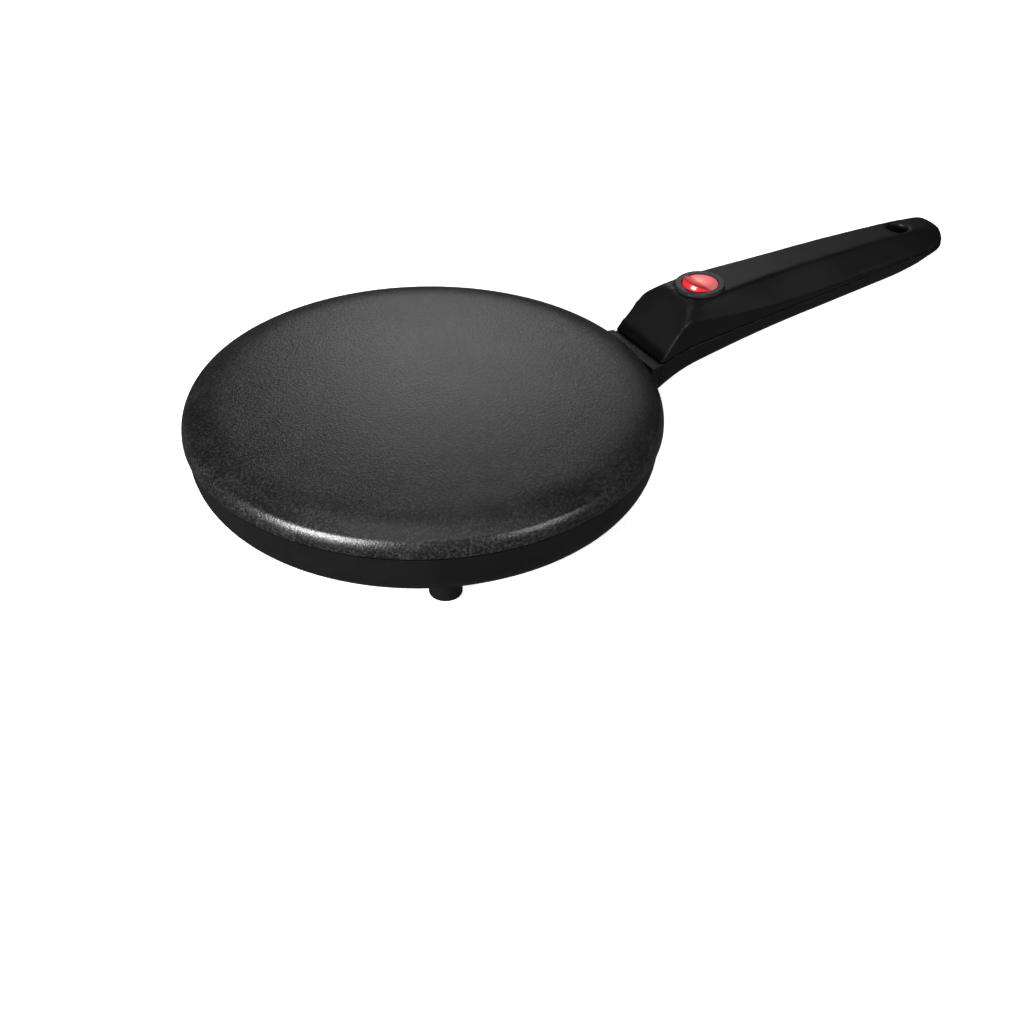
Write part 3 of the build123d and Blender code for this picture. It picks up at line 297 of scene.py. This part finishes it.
# %% Small finishes
def striped_wire(name, first, second):
    finish = Finish(name, Metallic=0.0)
    stripes = finish.node("ShaderNodeTexWave", {"wave_type": "BANDS", "bands_direction": "X"},
                          {"Vector": finish.place(), "Scale": 60.0, "Distortion": 0.6})
    finish.feed("Base Color", finish.colours(stripes, (0.45, first), (0.55, second)))
    finish.feed("Roughness", finish.spread(finish.noise(700.0), 0.3, 0.7, 0.38, 0.5))
    return finish.material


def woven_sleeve():
    finish = Finish("glass_fibre", Metallic=0.0)
    weave = finish.node("ShaderNodeTexWave", {"wave_type": "BANDS", "bands_direction": "DIAGONAL"},
                        {"Vector": finish.place(), "Scale": 420.0})
    finish.feed("Base Color", finish.colours(weave, (0.2, (0.50, 0.48, 0.42)),
                                             (0.7, (0.80, 0.78, 0.72))))
    finish.feed("Roughness", finish.spread(weave, 0.0, 1.0, 0.9, 0.7))
    finish.bump(weave, 0.00006)
    return finish.material


def lamp_glass():
    finish = Finish("glass", Metallic=0.0, IOR=1.5, Transmission_Weight=0.85)
    smear = finish.noise(300.0)
    finish.feed("Base Color", finish.colours(smear, (0.3, (0.85, 0.75, 0.66)),
                                             (0.7, (0.95, 0.90, 0.85))))
    finish.feed("Roughness", finish.spread(smear, 0.3, 0.7, 0.02, 0.10))
    return finish.material


def glazed(name, colour):
    finish = Finish(name, Metallic=0.0, Coat_Weight=0.4)
    speck = finish.noise(900.0, detail=2.0)
    finish.feed("Base Color", finish.colours(speck, (0.3, shade(colour, 0.85)),
                                             (0.6, colour)))
    finish.feed("Roughness", finish.spread(speck, 0.3, 0.7, 0.3, 0.5))
    finish.bump(speck, 0.00002)
    return finish.material


# %% [markdown]
# ## A finish on every piece
# The record names a slot for each node: what it is made of. Each slot gets one material, and each
# node takes the material of its slot. Pieces of one stuff then match, as they do when they come
# from one supplier.

# %% One finish for each slot of the record
black = (0.0035, 0.0035, 0.0037)
finishes = {
    "coated_plate": coated_plate(),
    "black_moulding": moulding("black_moulding", black, gloss=0.40),
    "steel": metal("steel", (0.60, 0.60, 0.61)),
    "sheath": element_sheath(),
    "ceramic": glazed("ceramic", (0.80, 0.77, 0.70)),
    "sheet_aluminium": metal("sheet_aluminium", (0.74, 0.74, 0.75), rough=0.34),
    "brown_moulding": moulding("brown_moulding", (0.07, 0.03, 0.016), gloss=0.45),
    "brass": metal("brass", (0.72, 0.50, 0.20), rough=0.28),
    "glass_fibre": woven_sleeve(),
    "fuse_metal": metal("fuse_metal", (0.62, 0.58, 0.50), rough=0.32),
    "black_rubber": moulding("black_rubber", (0.014, 0.014, 0.014), gloss=0.68,
                             grain_depth=0.00004),
    "black_gloss": moulding("black_gloss", (0.016, 0.016, 0.017), gloss=0.24,
                            grain_depth=0.000004),
    "red_lens": red_lens(),
    "white_plastic": moulding("white_plastic", (0.72, 0.72, 0.68), gloss=0.38),
    "glass": lamp_glass(),
    "resistor_body": glazed("resistor_body", (0.52, 0.36, 0.18)),
    "brown_wire": moulding("brown_wire", (0.09, 0.03, 0.012), gloss=0.36),
    "blue_wire": moulding("blue_wire", (0.015, 0.06, 0.32), gloss=0.36),
    "green_wire": striped_wire("green_wire", (0.03, 0.26, 0.03), (0.75, 0.62, 0.04)),
    "white_wire": moulding("white_wire", (0.66, 0.64, 0.56), gloss=0.5),
}
slot_of = {part["node"]: part["material_slot"] for part in frame["record"]["subparts"]}
for name, piece in nodes.items():
    piece.data.materials.clear()
    piece.data.materials.append(finishes[slot_of[name]])
print(len(finishes), "finishes on", len(nodes), "nodes")

# %% [markdown]
# ## The heating plate
# The casting is a turned form, so it is spun from one profile. Its dome rolls over into the rim
# more and more steeply, as metal flows in a mould, and that roll is what the light runs along. The
# profile starts from the two arcs of the machined model. `smooth_vert` then relaxes the vertices of
# the roll, which spreads the bend over a wider band than one arc could. The underside follows in
# the same wire: the wall, the land of the element and the seat of the thermostat.

# %% Wire helpers
plate_axis = Vector((-87.5, 0.0, 0.0)) * mm
lip_rise = 30.0 * mm
weld = 0.001 * mm


def arc_on(wire, vertex, centre, degrees, steps):
    """Carry the end of a wire along an arc in the XZ plane."""
    turned = bmesh.ops.spin(wire, geom=[vertex], cent=(centre[0], 0.0, centre[1]),
                            axis=(0.0, 1.0, 0.0), angle=math.radians(degrees), steps=steps,
                            dvec=(0.0, 0.0, 0.0), use_merge=False, use_duplicate=False)
    return [item for item in turned["geom_last"] if isinstance(item, bmesh.types.BMVert)][0]


def line_on(wire, vertex, place):
    """Carry the end of a wire straight to a place in the XZ plane."""
    grown = bmesh.ops.extrude_vert_indiv(wire, verts=[vertex])["verts"][0]
    grown.co = Vector((place[0], 0.0, place[1]))
    return grown


def relax(mesh, passes, inside=None):
    """Pull every vertex of a region towards its neighbours."""
    chosen = [v for v in mesh.verts if inside is None or inside(v.co)]
    for _ in range(passes):
        bmesh.ops.smooth_vert(mesh, verts=chosen, factor=0.5, use_axis_x=True, use_axis_y=True,
                              use_axis_z=True)
    return len(chosen)


def new_piece(name, mesh, slot):
    """Object from a finished bmesh, riding on the body, with the finish of its slot."""
    data = bpy.data.meshes.new(name)
    mesh.to_mesh(data)
    mesh.free()
    data.shade_smooth()
    data.materials.append(finishes[slot])
    piece = bpy.data.objects.new(name, data)
    bpy.context.scene.collection.objects.link(piece)
    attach(piece, "body")
    print(name, "has", len(data.polygons), "faces")
    return piece


# %% Upper side of the profile
rim = 100.0 * mm
crown_rise = 15.0 * mm
dome_radius = 1066.2 * mm
dome_angle = 4.923
roll_centre = (90.7 * mm, 1.8 * mm)
roll_from, roll_to = 66.0 * mm, 97.6 * mm
roll_passes = 80
dome_steps, roll_steps, inner_roll_steps = 90, 15, 10

wire = bmesh.new()
end = wire.verts.new((0.0, 0.0, crown_rise))
end = arc_on(wire, end, (0.0, crown_rise - dome_radius), dome_angle, dome_steps)
end = arc_on(wire, end, roll_centre, 90.0 - dome_angle, roll_steps)
rolled = relax(wire, roll_passes, lambda place: roll_from < place.x < roll_to)
widest = max(v.co.x for v in wire.verts)
print(rolled, "vertices in the roll; widest point", round(widest / mm, 2), "mm")

# %% Underside of the profile
wall = 3.0 * mm
lip_chamfer = 0.5 * mm
land_seat, land_inner, land_outer = 6.0 * mm, 56.5 * mm, 67.5 * mm
pad_seat, pad_radius = 8.0 * mm, 9.4 * mm
ceiling_outside_land, ceiling_inside_land, ceiling_at_pad = 9.9 * mm, 10.5 * mm, 11.9 * mm

end = line_on(wire, end, (rim, lip_chamfer))
end = line_on(wire, end, (rim - lip_chamfer, 0.0))
end = line_on(wire, end, (rim - wall, 0.0))
end = line_on(wire, end, (rim - wall, roll_centre[1]))
end = arc_on(wire, end, roll_centre, dome_angle - 90.0, inner_roll_steps)
for place in ((land_outer, ceiling_outside_land), (land_outer, land_seat), (land_inner, land_seat),
              (land_inner, ceiling_inside_land), (pad_radius, ceiling_at_pad),
              (pad_radius, pad_seat), (0.0, pad_seat)):
    end = line_on(wire, end, place)
print("profile of", len(wire.verts), "vertices")

# %% [markdown]
# ## From the profile to the casting
# A full turn of the wire closes on itself, so the spin merges its last ring with its first, and the
# merge by distance after it closes the poles on the axis. Screws, straps and the bracket of the
# thermostat need something to bite into: those bosses are plain cylinders, sunk into the underside.

# %% Spin it and add the bosses
turn_steps = 160
boss_sides = 40
casting = wire
bmesh.ops.spin(casting, geom=casting.verts[:] + casting.edges[:], cent=(0.0, 0.0, 0.0),
               axis=(0.0, 0.0, 1.0), angle=math.tau, steps=turn_steps, dvec=(0.0, 0.0, 0.0),
               use_merge=True, use_duplicate=False)
bmesh.ops.remove_doubles(casting, verts=casting.verts, dist=weld)
bmesh.ops.recalc_face_normals(casting, faces=casting.faces)


def add_boss(mesh, reach, degrees, radius, seat, top):
    """Round boss on the underside, sunk a little into the casting."""
    turn = math.radians(degrees)
    place = Vector((reach * math.cos(turn), reach * math.sin(turn), (seat + top) / 2))
    bmesh.ops.create_cone(mesh, cap_ends=True, segments=boss_sides, radius1=radius,
                          radius2=radius, depth=top - seat, matrix=Matrix.Translation(place))


foot_circle, foot_boss, foot_boss_end = 81.0 * mm, 5.5 * mm, -4.0 * mm
strap_circle, bracket_circle, bracket_seat = 51.6 * mm, 12.0 * mm, 4.8 * mm
lug_radius = 4.0 * mm
sunk_near_rim, sunk_near_middle = 8.5 * mm, 11.0 * mm
for degrees in (0.0, 115.0, -115.0):
    add_boss(casting, foot_circle, degrees, foot_boss, foot_boss_end, sunk_near_rim)
for degrees in (60.0, 180.0, 300.0):
    add_boss(casting, strap_circle, degrees, lug_radius, land_seat, sunk_near_middle)
for degrees in (90.0, -90.0):
    add_boss(casting, bracket_circle, degrees, lug_radius, bracket_seat, sunk_near_middle)
bmesh.ops.translate(casting, verts=casting.verts, vec=plate_axis + Vector((0.0, 0.0, lip_rise)))
casting_piece = new_piece("plate_casting", casting, "coated_plate")
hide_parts("heating_plate")

# %% [markdown]
# ## The handle's two mouldings
# A mould is cut with a round tool and polished, so a real handle has no knife edges: its brow, its
# creases and its nose are all a little round, and each of those edges catches a line of light. The
# machined model has them sharp. A bevel would need every edge to be clean, and a CAD mesh has long
# thin triangles. So a copy of each moulding is turned into an even net of small squares with a
# Remesh modifier, and then `smooth_vert` relaxes it: a few passes all over for the edges, and more
# on the nose and on the brow.

# %% Even net over a copy of a node
def even_net(node, square):
    """New mesh with the node's shape, made of squares of one size."""
    copy = bmesh.new()
    copy.from_mesh(nodes[node].data)
    bmesh.ops.remove_doubles(copy, verts=copy.verts, dist=weld)
    data = bpy.data.meshes.new(node + "_net")
    copy.to_mesh(data)
    copy.free()
    piece = bpy.data.objects.new(node + "_net", data)
    bpy.context.scene.collection.objects.link(piece)
    net = piece.modifiers.new("net", "REMESH")
    net.mode = "VOXEL"
    net.voxel_size = square
    depsgraph = bpy.context.evaluated_depsgraph_get()
    even = bpy.data.meshes.new_from_object(piece.evaluated_get(depsgraph))
    bpy.data.objects.remove(piece)
    return even


# %% [markdown]
# ## Nose and brow
# Two places are rounder than the rest: the nose at the far end, and the brow, where the sloped face
# over the neck meets the flat top. One strong pass would leave a border round each of them. Nested
# regions fade out instead: each is a little smaller than the one before, so the middle gets all the
# passes and the outside only a few. The seam between the two mouldings is kept out, or it would
# open into a groove, and so is the rim of the hanging hole.

# %% Where the handle is rounder
nose_tip = 187.5 * mm
nose_passes, brow_passes = 12, 8
brow_line = Vector((39.8, 50.3)) * mm
brow_middle = 5.0 * mm
hang_hole, hole_margin = Vector((165.0, 0.0)) * mm, 8.0 * mm
seam_start, seam_slope, seam_margin = Vector((20.8, 29.5)) * mm, 9.0 / 166.7, 1.2 * mm


def off_the_seam(place):
    """Whether a place on the handle is clear of its parting line."""
    seam = seam_start.y + (place.x - seam_start.x) * seam_slope
    return abs(place.z - seam) > seam_margin


def round_nose(mesh, reach):
    """A few passes on the end of the handle, as far back as the reach."""
    relax(mesh, nose_passes, lambda place: place.x > nose_tip - reach and off_the_seam(place)
          and (place.xy - hang_hole).length > hole_margin)


def round_brow(mesh, reach):
    """A few passes round the outer ends of the edge between slope and top."""
    relax(mesh, brow_passes, lambda place: (place.xz - brow_line).length < reach
          and abs(place.y) > brow_middle)


# %% The softened mouldings
net_square = 0.6 * mm
edge_passes = 10
nose_reaches = (17.0, 15.0, 13.0, 11.0, 9.0, 7.0)
brow_reaches = (9.0, 8.0, 7.0, 6.0, 5.0)

for node in ("handle_upper_shell", "handle_lower_shell"):
    softened = bmesh.new()
    softened.from_mesh(even_net(node, net_square))
    relax(softened, edge_passes)
    for reach in nose_reaches:
        round_nose(softened, reach * mm)
    if node == "handle_upper_shell":
        for reach in brow_reaches:
            round_brow(softened, reach * mm)
    piece = new_piece(node.replace("shell", "moulding"), softened, "black_moulding")
    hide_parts(node)

# %% [markdown]
# ## Floor
# The appliance stands on a pale sheet that runs on for several metres. The sheet glows a little by
# itself, so it is white right up to the feet. It is hidden from reflections, as a table behind a
# sheet of black card would be, because a white floor would turn the black bowl grey.

# %% Floor
def floor_sheet(size, drop):
    mesh = bmesh.new()
    bmesh.ops.create_grid(mesh, x_segments=1, y_segments=1, size=size)
    bmesh.ops.translate(mesh, verts=mesh.verts, vec=(0.0, 0.0, -drop))
    data = bpy.data.meshes.new("floor")
    mesh.to_mesh(data)
    mesh.free()
    sheet = bpy.data.objects.new("floor", data)
    bpy.context.scene.collection.objects.link(sheet)
    return sheet


paper = Finish("paper", Metallic=0.0, Roughness=0.9, Emission_Strength=0.8,
               Emission_Color=(1.0, 1.0, 1.0, 1.0))
paper_fibre = paper.noise(220.0, detail=3.0)
paper.feed("Base Color", paper.colours(paper_fibre, (0.3, (0.93, 0.93, 0.925)),
                                       (0.7, (0.95, 0.95, 0.945))))
floor_reach = 6.0
floor_drop = 0.2 * mm
floor = floor_sheet(floor_reach, floor_drop)
floor.data.materials.append(paper.material)
floor.visible_glossy = False
print("floor of", 2 * floor_reach, "m, just under the feet")

# %% [markdown]
# ## Lamps
# A broad overhead lamp lights the tops, and a dim surround keeps the black sides black. Two low
# strips stand left and right of the camera, and each one draws a bright arc along the rolled edge
# of the plate. A dimmer panel above the left strip softens that arc, and a high panel gives the
# band inside it a faint glow. A panel at the back brightens the far half of the plate, and a small
# one lifts the top of the handle. Sizes and places are in metres, powers in watts.

# %% Lamps
def soft_lamp(name, place, aim, size, power):
    """Rectangular lamp that stands at a place and faces another."""
    data = bpy.data.lights.new(name, "AREA")
    data.shape = "RECTANGLE"
    data.size, data.size_y = size
    data.energy = power
    lamp = bpy.data.objects.new(name, data)
    lamp.location = place
    lamp.rotation_euler = (Vector(aim) - Vector(place)).to_track_quat("-Z", "Y").to_euler()
    bpy.context.scene.collection.objects.link(lamp)
    print(name, "gives", power, "W")


middle = (-0.05, 0.0, 0.0)
plate = (-0.09, 0.0, 0.03)
plate_front = (-0.09, -0.05, 0.03)
handle = (0.1, 0.0, 0.04)
soft_lamp("overhead", (-0.3, -0.5, 2.2), middle, (2.0, 2.0), 14.0)
soft_lamp("left_strip", (-1.335, -0.30, 0.45), plate, (0.72, 0.14), 36.0)
soft_lamp("left_panel", (-1.22, -0.42, 0.78), plate, (0.75, 0.45), 7.0)
soft_lamp("right_strip", (0.33, -1.15, 0.48), plate, (0.5, 0.13), 5.5)
soft_lamp("back_wall", (0.85, 1.6, 1.0), plate, (0.5, 0.45), 2.7)
soft_lamp("high_panel", (0.01, 0.64, 1.95), plate_front, (0.7, 0.5), 2.5)
soft_lamp("handle_panel", (0.44, 0.44, 0.36), handle, (0.25, 0.15), 0.10)

# %% Surround
white = (1.0, 1.0, 1.0, 1.0)
world = bpy.data.worlds.new("surround")
world.use_nodes = True
background = world.node_tree.nodes["Background"]
background.inputs["Color"].default_value = white
background.inputs["Strength"].default_value = 0.08
bpy.context.scene.world = world
bpy.context.scene.view_settings.view_transform = "Standard"
print("surround at", round(background.inputs["Strength"].default_value, 2))
